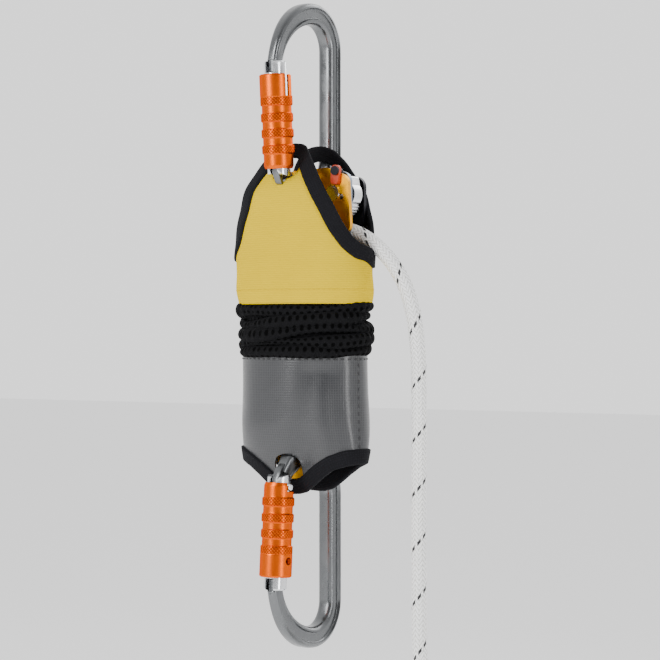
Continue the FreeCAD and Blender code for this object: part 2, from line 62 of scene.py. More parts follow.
# ---- mesh helpers (millimetres in, metres out) ---------------------------------------------
def mesh_object(name, points, faces, uvs=None, smooth=True):
    """A mesh from points in millimetres. uvs holds one (u, v) for each corner of each face."""
    data = bpy.data.meshes.new(name)
    data.from_pydata([tuple(float(c) * MM for c in p) for p in points], [], faces)
    if uvs is not None:
        layer = data.uv_layers.new(name="UVMap")
        layer.data.foreach_set("uv", np.array(uvs, float).ravel())
    data.polygons.foreach_set("use_smooth", [smooth] * len(data.polygons))
    data.update()
    obj = bpy.data.objects.new(name, data)
    bpy.context.collection.objects.link(obj)
    return obj


def grid_object(name, rows, uv=None, wrap=False, caps=False):
    """A surface through rows of points. wrap joins the last column to the first."""
    rows = np.asarray(rows, float)
    count, width = rows.shape[:2]
    faces, uvs = [], []
    for i in range(count - 1):
        for j in range(width if wrap else width - 1):
            k = (j + 1) % width
            faces.append((i * width + j, i * width + k, (i + 1) * width + k, (i + 1) * width + j))
            if uv is not None:
                uvs += [uv(i, j), uv(i, j + 1), uv(i + 1, j + 1), uv(i + 1, j)]
    if caps:
        for row, turn in ((0, -1), (count - 1, 1)):
            ring = [row * width + j for j in range(width)]
            faces.append(tuple(ring[::turn]))
            if uv is not None:
                uvs += [uv(row, j) for j in range(width)][::turn]
    return mesh_object(name, rows.reshape(-1, 3), faces, uvs if uv is not None else None)


def apply_modifiers(obj):
    """Bake the modifiers into the mesh."""
    graph = bpy.context.evaluated_depsgraph_get()
    data = bpy.data.meshes.new_from_object(obj.evaluated_get(graph))
    obj.modifiers.clear()
    obj.data = data
    return obj


def solidify(obj, thickness):
    """Thicken a surface inwards."""
    modifier = obj.modifiers.new("thickness", "SOLIDIFY")
    modifier.thickness = thickness * MM
    modifier.offset = -1.0
    return apply_modifiers(obj)


def cut(obj, cutter):
    """Boolean difference. The cutter is deleted."""
    modifier = obj.modifiers.new("cut", "BOOLEAN")
    modifier.object = cutter
    modifier.operation = "DIFFERENCE"
    modifier.solver = "EXACT"
    apply_modifiers(obj)
    bpy.data.objects.remove(cutter)
    return obj


def prism(name, outline, low, high, place):
    """A closed prism: place(u, v, height) gives each point of the outline at low and high."""
    count = len(outline)
    points = [place(u, v, low) for u, v in outline] + [place(u, v, high) for u, v in outline]
    faces = [(i, (i + 1) % count, count + (i + 1) % count, count + i) for i in range(count)]
    faces += [tuple(reversed(range(count))), tuple(range(count, 2 * count))]
    obj = mesh_object(name, points, faces, smooth=False)
    recalculate(obj)
    return obj


def recalculate(obj):
    """Turn all faces outwards."""
    work = bmesh.new()
    work.from_mesh(obj.data)
    bmesh.ops.recalc_face_normals(work, faces=work.faces)
    work.to_mesh(obj.data)
    work.free()
    return obj


def sample_spline(control, step):
    """Evenly spaced points on the NURBS spline through the control points, in millimetres."""
    curve = route_curve("route_sample", control)
    curve.data.resolution_u = 24
    graph = bpy.context.evaluated_depsgraph_get()
    data = bpy.data.meshes.new_from_object(curve.evaluated_get(graph))
    line = np.array([v.co for v in data.vertices], float) / MM
    bpy.data.objects.remove(curve)
    bpy.data.meshes.remove(data)
    travelled = travelled_along(line)
    wanted = np.linspace(0, travelled[-1], int(travelled[-1] / step) + 1)
    return np.stack([np.interp(wanted, travelled, line[:, k]) for k in range(3)], axis=1)


def route_curve(name, control):
    """An order 3 NURBS curve with the given control points."""
    data = bpy.data.curves.new(name, "CURVE")
    data.dimensions = "3D"
    spline = data.splines.new("NURBS")
    spline.points.add(len(control) - 1)
    for point, place in zip(spline.points, control):
        point.co = (place[0] * MM, place[1] * MM, place[2] * MM, 1)
    spline.order_u = 3
    spline.use_endpoint_u = True
    obj = bpy.data.objects.new(name, data)
    bpy.context.collection.objects.link(obj)
    return obj


def travelled_along(points):
    """Distance along the points, from 0 at the first."""
    return np.concatenate([[0], np.cumsum(np.linalg.norm(np.diff(points, axis=0), axis=1))])


def level_normals(points):
    """Level directions straight out from the Z axis."""
    flat = points * np.array([1, 1, 0])
    return flat / np.linalg.norm(flat, axis=1)[:, None]


def frames_along(line):
    """Two cross vectors at each point, carried along without twist."""
    tangents = np.gradient(line, axis=0)
    tangents /= np.linalg.norm(tangents, axis=1)[:, None]
    first = np.array([0.0, 1.0, 0.0])
    side = first - tangents[0] * first.dot(tangents[0])
    sides = []
    for tangent in tangents:
        side = side - tangent * side.dot(tangent)
        side /= np.linalg.norm(side)
        sides.append(side.copy())
    sides = np.array(sides)
    return sides, np.cross(tangents, sides)


def rope_mesh(name, line, radius=ROPE_R, around=24, caps=True):
    """A rope tube whose u runs round it and whose v runs along it in metres."""
    side, up = frames_along(line)
    step = np.linalg.norm(np.diff(line, axis=0), axis=1).mean() * MM
    angles = np.linspace(0, 2 * math.pi, around, endpoint=False)
    across, along = np.cos(angles)[None, :, None], np.sin(angles)[None, :, None]
    rows = line[:, None] + radius * (across * side[:, None] + along * up[:, None])
    return grid_object(name, rows, lambda i, j: (j / around, i * step), wrap=True, caps=caps)


# ---- material helpers ----------------------------------------------------------------------
class Nodes:
    """Short ways to add and join shader nodes."""

    def __init__(self, name, colour, roughness, metallic=0.0, **sockets):
        self.material = bpy.data.materials.new(name)
        self.material.use_nodes = True
        self.tree = self.material.node_tree
        self.shader = self.tree.nodes["Principled BSDF"]
        self.shader.inputs["Base Color"].default_value = (*colour, 1)
        self.shader.inputs["Roughness"].default_value = roughness
        self.shader.inputs["Metallic"].default_value = metallic
        for key, value in sockets.items():
            self.shader.inputs[key.replace("_", " ")].default_value = value

    def add(self, kind, **settings):
        node = self.tree.nodes.new(kind)
        for key, value in settings.items():
            setattr(node, key, value)
        return node

    def put(self, value, socket):
        if isinstance(value, (int, float)):
            socket.default_value = value
        else:
            self.tree.links.new(value, socket)

    def math(self, operation, *values):
        node = self.add("ShaderNodeMath", operation=operation)
        for value, socket in zip(values, node.inputs):
            self.put(value, socket)
        return node.outputs[0]

    def coordinates(self, kind="Object"):
        split = self.add("ShaderNodeSeparateXYZ")
        source = self.add("ShaderNodeTexCoord").outputs[kind]
        self.tree.links.new(source, split.inputs[0])
        return source, split.outputs

    def noise(self, source, scale, detail=3.0):
        node = self.add("ShaderNodeTexNoise")
        self.tree.links.new(source, node.inputs["Vector"])
        node.inputs["Scale"].default_value = scale
        node.inputs["Detail"].default_value = detail
        return node.outputs["Fac"]

    def stretched(self, source, x, y, z):
        node = self.add("ShaderNodeMapping")
        self.tree.links.new(source, node.inputs["Vector"])
        node.inputs["Scale"].default_value = (x, y, z)
        return node.outputs[0]

    def ramp(self, value, *stops):
        """stops are (position, grey or colour)."""
        node = self.add("ShaderNodeValToRGB")
        elements = node.color_ramp.elements
        while len(elements) < len(stops):
            elements.new(0.5)
        for element, (position, colour) in zip(elements, stops):
            element.position = position
            element.color = (colour,) * 3 + (1,) if isinstance(colour, (int, float)) else (*colour, 1)
        self.put(value, node.inputs[0])
        return node.outputs[0]

    def mix(self, factor, a, b):
        node = self.add("ShaderNodeMix", data_type="RGBA")
        self.put(factor, node.inputs["Factor"])
        for value, socket in ((a, node.inputs[6]), (b, node.inputs[7])):
            if isinstance(value, tuple):
                socket.default_value = (*value, 1)
            else:
                self.tree.links.new(value, socket)
        return node.outputs[2]

    def wave(self, value, period):
        """0 to 1 and back over each period of a coordinate in metres."""
        turn = self.math("MULTIPLY", value, 2 * math.pi / period)
        return self.math("MULTIPLY_ADD", self.math("SINE", turn), 0.5, 0.5)

    def colour(self, value):
        self.tree.links.new(value, self.shader.inputs["Base Color"])

    def roughness(self, value):
        self.tree.links.new(value, self.shader.inputs["Roughness"])

    def bump(self, height, distance, strength=1.0):
        node = self.add("ShaderNodeBump")
        self.put(height, node.inputs["Height"])
        node.inputs["Distance"].default_value = distance
        node.inputs["Strength"].default_value = strength
        self.tree.links.new(node.outputs[0], self.shader.inputs["Normal"])


def metal(name, colour, roughness, grain=(60, 60, 60), spread=0.12, depth=0.00004):
    """Metal with fine brushed or blasted variation and soft marks."""
    n = Nodes(name, colour, roughness, 1.0)
    source, _ = n.coordinates()
    fine = n.noise(n.stretched(source, *[g * 40 for g in grain]), 1.0, 2)
    marks = n.noise(source, 140, 2)
    darker = tuple(c * (1 - spread) for c in colour)
    lighter = tuple(min(1, c * (1 + spread)) for c in colour)
    n.colour(n.mix(fine, darker, lighter))
    n.roughness(n.ramp(marks, (0.3, max(0.05, roughness - 0.07)), (0.7, roughness + 0.1)))
    n.bump(fine, depth, 0.25)
    return n.material


def plastic(name, colour, roughness):
    """Moulded plastic with a fine grain."""
    n = Nodes(name, colour, roughness)
    source, _ = n.coordinates()
    fine = n.noise(source, 1800, 2)
    n.colour(n.mix(fine, tuple(c * 0.92 for c in colour), tuple(min(1, c * 1.08) for c in colour)))
    n.roughness(n.ramp(n.noise(source, 300, 2), (0.3, roughness - 0.06), (0.7, roughness + 0.1)))
    n.bump(fine, 0.00005, 0.4)
    return n.material


def rope_material():
    """White braided sheath with herringbone plaits, painted shade in the grooves between the strands,
    and a dashed black tracer on a helix.
    """
    n = Nodes("rope", (0.8, 0.8, 0.78), 0.75, Sheen_Weight=0.05)
    source, uv = n.coordinates("UV")
    around, along = uv[0], uv[1]
    plaits, pitch, tracer_pitch, dashes = 12, 0.0052, 0.028, 8
    folded = n.math("ABSOLUTE", n.math("SUBTRACT", n.math("FRACT", n.math(
        "MULTIPLY", around, plaits / 2)), 0.5))
    phase = n.math("MULTIPLY_ADD", folded, 1.15 * 2, n.math("DIVIDE", along, pitch / 2))
    strand = n.math("MULTIPLY_ADD", n.math("SINE", n.math("MULTIPLY", phase, 2 * math.pi)), 0.5, 0.5)
    valley = n.math("POWER", n.math("ABSOLUTE", n.math("MULTIPLY_ADD", folded, 4, -1)), 6)
    height = n.math("SUBTRACT", strand, n.math("MULTIPLY", valley, 0.55))
    helix = n.math("SUBTRACT", n.math("DIVIDE", along, tracer_pitch),
                   n.math("ADD", around, 0.35))
    from_line = n.math("ABSOLUTE", n.math("SUBTRACT", n.math("FRACT", helix), 0.5))
    on_line = n.math("LESS_THAN", from_line, 0.037)
    dash = n.math("LESS_THAN", n.math("FRACT", n.math("MULTIPLY", around, dashes)), 0.6)
    tracer = n.math("MULTIPLY", on_line, dash)
    # painted shade: the ramp colours the low parts of the braid, the grooves between strands and
    # plaits, darker grey than the strand tops
    white = n.ramp(height, (0.0, (0.62, 0.62, 0.60)), (0.35, (0.90, 0.90, 0.88)),
                   (1.0, (0.97, 0.97, 0.96)))
    n.colour(n.mix(tracer, white, (0.012, 0.012, 0.014)))
    n.bump(height, 0.00022, 0.8)
    return n.material


def yellow_fabric():
    """Fine horizontal ribs with a warmer tone along them, and slight mottling."""
    n = Nodes("yellow_fabric", (0.66, 0.46, 0.0), 0.9, Specular_IOR_Level=0.02)
    source, axes = n.coordinates()
    ribs = n.wave(axes[2], 0.00115)
    threads = n.wave(n.math("ADD", axes[0], n.math("MULTIPLY", axes[1], 0.6)), 0.0009)
    cloud = n.noise(source, 55, 3)
    height = n.math("ADD", ribs, n.math("MULTIPLY", threads, 0.35))
    tone = n.mix(cloud, (0.62, 0.43, 0.0), (0.70, 0.50, 0.0))
    n.colour(n.mix(n.math("MULTIPLY", ribs, 0.28), tone, (0.48, 0.30, 0.0)))
    n.bump(height, 0.00012, 0.55)
    return n.material


def webbing(name, colour=(0.004, 0.004, 0.005)):
    """Woven tape: fine cross ribs, with painted highlight on the raised crossings of the weave and
    random fuzz in the tone.
    """
    n = Nodes(name, colour, 0.85, Specular_IOR_Level=0.12)
    source, uv = n.coordinates("UV")
    ribs = n.wave(uv[1], 0.0011)
    weft = n.wave(uv[0], 0.0013)
    place, _ = n.coordinates("Object")
    fuzz = n.noise(place, 700, 3)
    height = n.math("MULTIPLY", ribs, weft)
    # painted highlight: where ribs and weft cross, the raised weave is coloured up to 3.2 times
    # lighter; the fuzz noise adds random tone
    light = tuple(c * 3.2 for c in colour)
    n.colour(n.mix(n.math("MULTIPLY", n.math("ADD", height, fuzz), 0.42), colour, light))
    n.bump(height, 0.00018, 0.7)
    return n.material


def coated_fabric():
    """Dark grey coated cloth with a fine square emboss, painted highlight on its raised grid lines,
    and a soft gloss.
    """
    n = Nodes("coated_fabric", (0.03, 0.031, 0.034), 0.32, Coat_Weight=0.35, Coat_Roughness=0.16)
    source, uv = n.coordinates("UV")
    grid = n.math("MAXIMUM", n.math("POWER", n.wave(uv[0], 0.0013), 4),
                  n.math("POWER", n.wave(uv[1], 0.0013), 4))
    place, _ = n.coordinates("Object")
    cloud = n.noise(place, 40, 3)
    # painted highlight: the raised grid lines of the emboss are coloured lighter than the cloth
    # between them; the cloud noise is random tone
    n.colour(n.mix(grid, n.mix(cloud, (0.013, 0.0135, 0.015), (0.022, 0.023, 0.026)),
                   (0.034, 0.035, 0.038)))
    n.roughness(n.ramp(cloud, (0.3, 0.30), (0.7, 0.46)))
    n.bump(grid, 0.0001, 0.5)
    return n.material


def mesh_fabric():
    """Knitted black mesh: staggered rows of oval holes, painted near-black as the shade seen through
    them, between thick dark grey threads.
    """
    n = Nodes("mesh_fabric", (0.005, 0.005, 0.005), 0.9, Specular_IOR_Level=0.06)
    source, uv = n.coordinates("UV")
    across, down = 0.0041, 0.0037
    row = n.math("DIVIDE", uv[1], down)
    shift = n.math("MULTIPLY", n.math("MODULO", n.math("FLOOR", row), 2.0), 0.5)
    column = n.math("ADD", n.math("DIVIDE", uv[0], across), shift)
    x = n.math("SUBTRACT", n.math("FRACT", column), 0.5)
    y = n.math("SUBTRACT", n.math("FRACT", row), 0.5)
    away = n.math("SQRT", n.math("ADD", n.math("POWER", x, 2),
                                 n.math("POWER", n.math("MULTIPLY", y, 0.9), 2)))
    solid = n.ramp(away, (0.18, 0.0), (0.29, 1.0))
    place, _ = n.coordinates("Object")
    yarn = n.noise(place, 1500, 3)
    thread = n.mix(yarn, (0.0015, 0.0015, 0.0018), (0.011, 0.011, 0.012))
    # painted shade: the holes are not cut but coloured near-black, as the shade inside the tube seen
    # through them
    n.colour(n.mix(solid, (0.0004, 0.0004, 0.0004), thread))
    n.bump(n.math("ADD", solid, n.math("MULTIPLY", yarn, 0.25)), 0.0007, 1.0)
    return n.material


def anodised_orange():
    """Orange anodising with diamond knurling on the sleeve's four bands, its pits painted dark as
    shade.
    """
    n = Nodes("anodised_orange", (0.7, 0.09, 0.0), 0.34, 1.0, Specular_Tint=(1.0, 0.45, 0.2, 1.0))
    source, _ = n.coordinates()
    fine = n.noise(source, 900, 3)
    _, uv = n.coordinates("UV")
    around, along = n.math("MULTIPLY", uv[0], 30), n.math("MULTIPLY", uv[1], 560)
    rise = n.math("SINE", n.math("MULTIPLY", n.math("ADD", around, along), 2 * math.pi))
    fall = n.math("SINE", n.math("MULTIPLY", n.math("SUBTRACT", around, along), 2 * math.pi))
    diamonds = n.math("MAXIMUM", rise, fall)
    place = n.math("DIVIDE", n.math("SUBTRACT", uv[1], 0.0079), 0.00833)
    away = n.math("ABSOLUTE", n.math("SUBTRACT", n.math("FRACT", n.math("ADD", place, 0.5)), 0.5))
    banded = n.math("MULTIPLY", n.math("LESS_THAN", away, 0.235),
                    n.math("LESS_THAN", n.math("ABSOLUTE", n.math("SUBTRACT", place, 1.5)), 1.9))
    knurl_pits_with_painted_shade = n.math("MULTIPLY", banded, n.ramp(diamonds, (0.45, 0.0), (0.85, 1.0)))
    tone = n.mix(fine, (0.68, 0.095, 0.0), (0.76, 0.115, 0.0))
    # painted shade: the knurl's pits, which the bump sinks, are coloured dark red-brown as the shade
    # in them
    n.colour(n.mix(n.math("MULTIPLY", knurl_pits_with_painted_shade, 0.8), tone, (0.24, 0.014, 0.0)))
    n.roughness(n.ramp(fine, (0.3, 0.32), (0.7, 0.36)))
    n.bump(n.math("MULTIPLY", knurl_pits_with_painted_shade, -1), 0.0003, 0.7)
    return n.material


def thread_material():
    """Black sewing thread with a fine twist."""
    n = Nodes("thread", (0.012, 0.012, 0.014), 0.6)
    source, _ = n.coordinates()
    twist = n.noise(source, 3000, 2)
    n.colour(n.mix(twist, (0.006, 0.006, 0.007), (0.03, 0.03, 0.033)))
    n.bump(twist, 0.0001, 0.6)
    return n.material


FINISH = {
    "forged_grey": metal("forged_grey", (0.16, 0.165, 0.17), 0.27, (50, 50, 50), 0.05),
    "bright_steel": metal("bright_steel", (0.78, 0.79, 0.81), 0.2, (40, 40, 40), 0.05),
    "spring_steel": metal("spring_steel", (0.55, 0.56, 0.58), 0.25),
    "anodised_orange": anodised_orange(),
    "gold_plate": metal("gold_plate", (0.86, 0.40, 0.0), 0.36, (20, 20, 80), 0.08),
    "grey_plate": metal("grey_plate", (0.30, 0.34, 0.40), 0.3, (20, 20, 80), 0.1),
    "cam_steel": metal("cam_steel", (0.82, 0.82, 0.83), 0.24, (60, 60, 60), 0.08),
    "black_pin": metal("black_pin", (0.02, 0.02, 0.024), 0.4, (60, 60, 60), 0.2),
    "sheave_metal": metal("sheave_metal", (0.55, 0.56, 0.58), 0.28),
    "bearing_metal": metal("bearing_metal", (0.70, 0.48, 0.20), 0.3),
    "black_plastic": plastic("black_plastic", (0.02, 0.02, 0.022), 0.42),
    "orange_plastic": plastic("orange_plastic", (0.50, 0.035, 0.0), 0.5),
    "rope_white": rope_material(),
    "yellow_fabric": yellow_fabric(),
    "black_webbing": webbing("black_webbing"),
    "grey_coated_fabric": coated_fabric(),
    "black_mesh": mesh_fabric(),
}
THREAD = thread_material()


def finish(obj, slot, body=None):
    """Material, slot and body of a piece."""
    obj.data.materials.clear()
    obj.data.materials.append(FINISH[slot])
    if body is not None:
        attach(obj, body)
    return obj


# ---- camera, floor and lights --------------------------------------------------------------
def stage():
    """Camera, world, floor and three soft lights, in metres except for the floor."""
    distance, centre_z, centre_right = 1.05, -0.1626, 0.0133
    right = Vector((math.cos(VIEW_AZIMUTH), math.sin(VIEW_AZIMUTH), 0))
    towards = Vector((math.sin(VIEW_AZIMUTH), -math.cos(VIEW_AZIMUTH), 0))
    aim = right * centre_right + Vector((0, 0, centre_z))
    data = bpy.data.cameras.new("camera")
    data.lens, data.sensor_width = 107.7, 36
    data.clip_start = 0.05
    camera = bpy.data.objects.new("camera", data)
    camera.location = aim + towards * distance
    camera.rotation_euler = (math.pi / 2, 0, VIEW_AZIMUTH)
    bpy.context.collection.objects.link(camera)
    bpy.context.scene.camera = camera

    # The world is brighter behind the object than behind the camera.
    world = bpy.data.worlds.new("world")
    bpy.context.scene.world = world
    world.use_nodes = True
    nodes, links = world.node_tree.nodes, world.node_tree.links
    direction = nodes.new("ShaderNodeTexCoord").outputs["Generated"]
    along = nodes.new("ShaderNodeVectorMath")
    along.operation = "DOT_PRODUCT"
    along.inputs[1].default_value = tuple(-towards)
    links.new(direction, along.inputs[0])
    ramp = nodes.new("ShaderNodeValToRGB")
    shift = nodes.new("ShaderNodeMath")
    shift.operation = "MULTIPLY_ADD"
    shift.inputs[1].default_value, shift.inputs[2].default_value = 0.5, 0.5
    links.new(along.outputs["Value"], shift.inputs[0])
    links.new(shift.outputs[0], ramp.inputs[0])
    ramp.color_ramp.elements[0].position, ramp.color_ramp.elements[1].position = 0.15, 0.8
    ramp.color_ramp.elements[0].color = (0.24, 0.24, 0.245, 1)
    ramp.color_ramp.elements[1].color = (1, 1, 1, 1)
    links.new(ramp.outputs[0], nodes["Background"].inputs["Color"])
    nodes["Background"].inputs["Strength"].default_value = 1.5

    floor_z = -620
    reach = 9000
    floor = mesh_object("floor", [(-reach, -reach, floor_z), (reach, -reach, floor_z),
                                  (reach, reach, floor_z), (-reach, reach, floor_z)],
                        [(0, 1, 2, 3)])
    pale = Nodes("pale_floor", (0.95, 0.95, 0.95), 0.9, Emission_Color=(1, 1, 1, 1),
                 Emission_Strength=0.35)
    floor.data.materials.append(pale.material)

    def area(name, place, size, power, target):
        light = bpy.data.lights.new(name, "AREA")
        light.shape, light.size, light.size_y = "RECTANGLE", size[0], size[1]
        light.energy = power
        obj = bpy.data.objects.new(name, light)
        obj.location = place
        obj.rotation_euler = (Vector(target) - Vector(place)).to_track_quat("-Z", "Y").to_euler()
        bpy.context.collection.objects.link(obj)

    target = (0, 0, -0.16)
    key = towards * 0.9 - right * 1.0 + Vector((0, 0, 0.45))
    fill = towards * 1.0 + right * 0.9 + Vector((0, 0, 0.1))
    rim = -towards * 0.8 + right * 0.7 + Vector((0, 0, 0.5))
    area("key_light", key, (0.45, 1.3), 22, target)
    area("fill_light", fill, (0.25, 1.3), 9, target)
    area("rim_light", rim, (0.6, 1.0), 6, target)


stage()


# ---- free rope -----------------------------------------------------------------------------
# The route of the free rope: off the upper rear sheave, out under the cam, down to the hank.
TAIL_ROUTE = [
    (0, 7.5, -108.25), (19, 7.5, -108.3), (33, 7.5, -113.2), (46, 7.5, -122.8), (57, 7.5, -137),
    (63.2, 7.5, -155), (65.8, 7.5, -178), (66, 7.5, -212), (65.6, 7.4, -262), (66, 7.5, -300),
    (66, 7.5, -334), (68, 12, -350), (74.5, 28.5, -363), (81, 45, -381), (84, 45.5, -402),
    (83.8, 42.2, -424),
]
# The last stretch: down through the middle of the hank, into the rope's end fitting.
END_ROUTE = [(85, 32.5, -474), (89, 30, -496), (91, 26.5, -515), (91, 25, -528), (91, 25, -540)]
HANK_X, HANK_Y, HANK_Z = 66.0, 7.5, -454.0
LAYER = 8.8                 # from one turn of the hank to the next
HANK_STRAIGHT = 50.0        # half of a turn's straight run
OUTER_BEND, INNER_BEND = 34.2, 25.4
TURNS = 4                   # of each bend


def hank_turns(bend, x_start, x_step, turns):
    """Long turns in the YZ plane, starting halfway down the +Y side."""
    arc = [math.radians(22.5 * k) for k in range(9)]
    high = HANK_STRAIGHT
    loop = [(bend, -high / 2)]
    loop += [(bend * math.cos(a), -high - bend * math.sin(a)) for a in arc]
    loop += [(-bend, -high / 2), (-bend, 0), (-bend, high / 2)]
    loop += [(-bend * math.cos(a), high + bend * math.sin(a)) for a in arc]
    loop += [(bend, high / 2), (bend, 0)]
    legs = [math.dist(p, q) for p, q in zip([(bend, 0)] + loop, loop)]
    points, travelled = [(x_start, HANK_Y + bend, HANK_Z)], 0.0
    for turn in range(turns):
        for leg, (y, z) in zip(legs, loop):
            travelled += leg
            points.append((x_start + x_step * travelled / sum(legs), HANK_Y + y, HANK_Z + z))
    return points


def free_rope():
    """The tail, four outer turns of the hank one way, four inner turns back, and the end."""
    outer = hank_turns(OUTER_BEND, HANK_X + 2 * LAYER, -LAYER, TURNS)
    inner = hank_turns(INNER_BEND, HANK_X - 2 * LAYER, LAYER, TURNS)
    route = TAIL_ROUTE + outer[:-2] + inner[2:] + END_ROUTE
    line = sample_spline(route, 1.1)
    rope = rope_mesh("free_rope", line)
    finish(rope, "rope_white", "upper_block")
    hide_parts("rope_tail", "rope_hank")
    return rope


free_rope()


# ---- rope between the blocks ---------------------------------------------------------------
def strands():
    """Four strands that stretch between the blocks."""
    lowest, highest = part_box("rope_strands")
    low_z, high_z = lowest.z / MM, highest.z / MM
    pitch, plane = 15.5, 7.5
    routes = {
        "strand_becket": [(0, -4.9, -169.4), (1.5, -7.5, -173), (6, -7.5, -179),
                          (12.9, -7.5, -188.3)],
        "strand_two": [(-pitch, -plane, high_z), (-pitch, -plane, low_z)],
        "strand_three": [(pitch, -plane, high_z), (pitch, -plane, high_z - 7.8),
                         (pitch, plane, low_z + 7.8), (pitch, plane, low_z)],
        "strand_four": [(-pitch, plane, high_z), (-pitch, plane, low_z)],
    }
    for name, route in routes.items():
        line = np.array(route, float)
        rows = sample_spline(route, 1.5) if len(route) > 2 else np.linspace(line[0], line[1], 40)
        piece = rope_mesh(name, rows, 3.95, 16, caps=False)
        finish(piece, "rope_white")
        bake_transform(piece)
        if name == "strand_becket":
            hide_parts("rope_strands")


strands()


# ---- cloth shells --------------------------------------------------------------------------
def smoothstep(low, high, value):
    t = np.clip((value - low) / (high - low), 0, 1)
    return t * t * (3 - 2 * t)


def profile(stations, z):
    """Half width and half depth of the cover at height z."""
    zs = [s[0] for s in stations]
    return (np.interp(z, zs, [s[1] for s in stations]), np.interp(z, zs, [s[2] for s in stations]))


def smooth_stations(stations):
    """Stations every 2 mm, with their corners rounded off."""
    low, high = stations[0][0], stations[-1][0]
    fine = np.arange(low, high + 2, 2.0)
    kernel = np.exp(-np.linspace(-2, 2, 9) ** 2)
    kernel /= kernel.sum()
    result = [fine]
    for column in (1, 2):
        values = np.interp(fine, [s[0] for s in stations], [s[column] for s in stations])
        padded = np.concatenate([values[:1].repeat(4), values, values[-1:].repeat(4)])
        result.append(np.convolve(padded, kernel, "valid"))
    return list(zip(*result))


def edge_height(outline, a_side, angle):
    """Edge z where the outline (x, z) crosses the direction angle."""
    x = abs(math.cos(angle)) * a_side
    return np.interp(x, [p[0] for p in outline], [p[1] for p in outline])


def cloth_tube(name, stations, edge, hem_z, columns, rows, ripple):
    """Cloth from the hem to an edge whose height varies round the tube.

    Returns the object and its grid of points, whose last row is the edge."""
    stations = smooth_stations(stations)
    angles = np.linspace(0, 2 * math.pi, columns, endpoint=False)
    grid = np.zeros((rows, columns, 3))
    for j, angle in enumerate(angles):
        top = edge(angle)
        for i in range(rows):
            z = hem_z + (top - hem_z) * i / (rows - 1)
            a, b = profile(stations, z)
            swell = ripple(angle, z)
            grid[i, j] = ((a + swell) * math.cos(angle), (b + swell) * math.sin(angle), z)
    lengths = travelled_along(np.vstack([grid[0], grid[0][:1]])) * MM
    heights = grid[:, :, 2] * MM
    obj = grid_object(name, grid, lambda i, j: (lengths[j], heights[i, j % columns]), wrap=True)
    return obj, grid


def edge_frames(grid):
    """The cloth's edge, with the way into the cloth and the way out of its face."""
    edge = grid[-1]
    tangent = np.roll(edge, -1, axis=0) - np.roll(edge, 1, axis=0)
    tangent /= np.linalg.norm(tangent, axis=1)[:, None]
    inward = grid[-2] - edge
    inward -= tangent * (inward * tangent).sum(axis=1)[:, None]
    inward /= np.linalg.norm(inward, axis=1)[:, None]
    normal = np.cross(tangent, inward)
    outward = edge * np.array([1, 1, 0])
    normal *= np.sign((normal * outward).sum(axis=1))[:, None]
    for _ in range(3):
        inward = (np.roll(inward, 1, axis=0) + inward + np.roll(inward, -1, axis=0))
        inward /= np.linalg.norm(inward, axis=1)[:, None]
        normal = (np.roll(normal, 1, axis=0) + normal + np.roll(normal, -1, axis=0))
        normal /= np.linalg.norm(normal, axis=1)[:, None]
    return edge, inward, normal


def binding_strip(name, grid, width, thick, body, surface):
    """Tape folded over the edge of a cloth tube, following the cloth inside its width.

    surface(point) moves a point onto the cloth, so that the tape lies along it."""
    edge, inward, normal = edge_frames(grid)
    around = []
    half = thick / 2
    for u, v in ([(-0.9, 0.0), (-0.5, 0.8)] + [(width * k / 6, 1.0) for k in range(7)] +
                 [(width + 0.25, 0.3), (width + 0.25, -0.3)] +
                 [(width * k / 6, -1.0) for k in range(6, -1, -1)] + [(-0.5, -0.8)]):
        base = np.array([surface(p) for p in edge + inward * max(u, 0)])
        around.append(base + inward * min(u, 0) + normal * (v * half))
    rows = np.transpose(np.array(around), (1, 0, 2))
    closed = np.concatenate([rows, rows[:1]])
    steps = travelled_along(closed[:, 0])
    girth = travelled_along(np.vstack([rows[0], rows[0][:1]]))
    obj = grid_object(name, closed, lambda i, j: (girth[j] * MM, steps[i] * MM), wrap=True)
    weld(obj)
    finish(obj, "black_webbing", body)
    return obj


def weld(obj):
    """Join the points where a closed grid meets itself."""
    work = bmesh.new()
    work.from_mesh(obj.data)
    bmesh.ops.remove_doubles(work, verts=work.verts, dist=1e-6)
    work.to_mesh(obj.data)
    work.free()


def stitches(name, points, normals, spacing, size, body):
    """A row of short stitches along a line."""
    corners, faces = [], []
    travelled = travelled_along(points)
    count = int(travelled[-1] / spacing)
    for k in range(count):
        at = (k + 0.5) * spacing
        i = min(np.searchsorted(travelled, at), len(points) - 1)
        t = points[i] - points[i - 1]
        t = t / np.linalg.norm(t)
        n = normals[i]
        side = np.cross(t, n)
        centre = points[i - 1] + t * (at - travelled[i - 1])
        base = len(corners)
        for along, grow in ((-0.5, 0.35), (-0.25, 1.0), (0.25, 1.0), (0.5, 0.35)):
            for corner in range(6):
                a = corner * math.pi / 3
                corners.append(centre + t * along * size[0] + side * math.cos(a) * size[1] * grow
                              + n * math.sin(a) * size[1] * grow * 0.8)
        for ring in range(3):
            for corner in range(6):
                a, b = base + ring * 6 + corner, base + ring * 6 + (corner + 1) % 6
                faces.append((a, b, b + 6, a + 6))
        faces.append(tuple(base + c for c in reversed(range(6))))
        faces.append(tuple(base + 18 + c for c in range(6)))
    obj = mesh_object(name, corners, faces)
    obj.data.materials.append(THREAD)
    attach(obj, body)
    return obj


UPPER_WIDE, LOWER_WIDE, DEEP = 40, 37, 25   # the covers' half widths in X and Y, about
FLAP_GIVES = 4.0            # how far the top of the front flap gives way to the gate

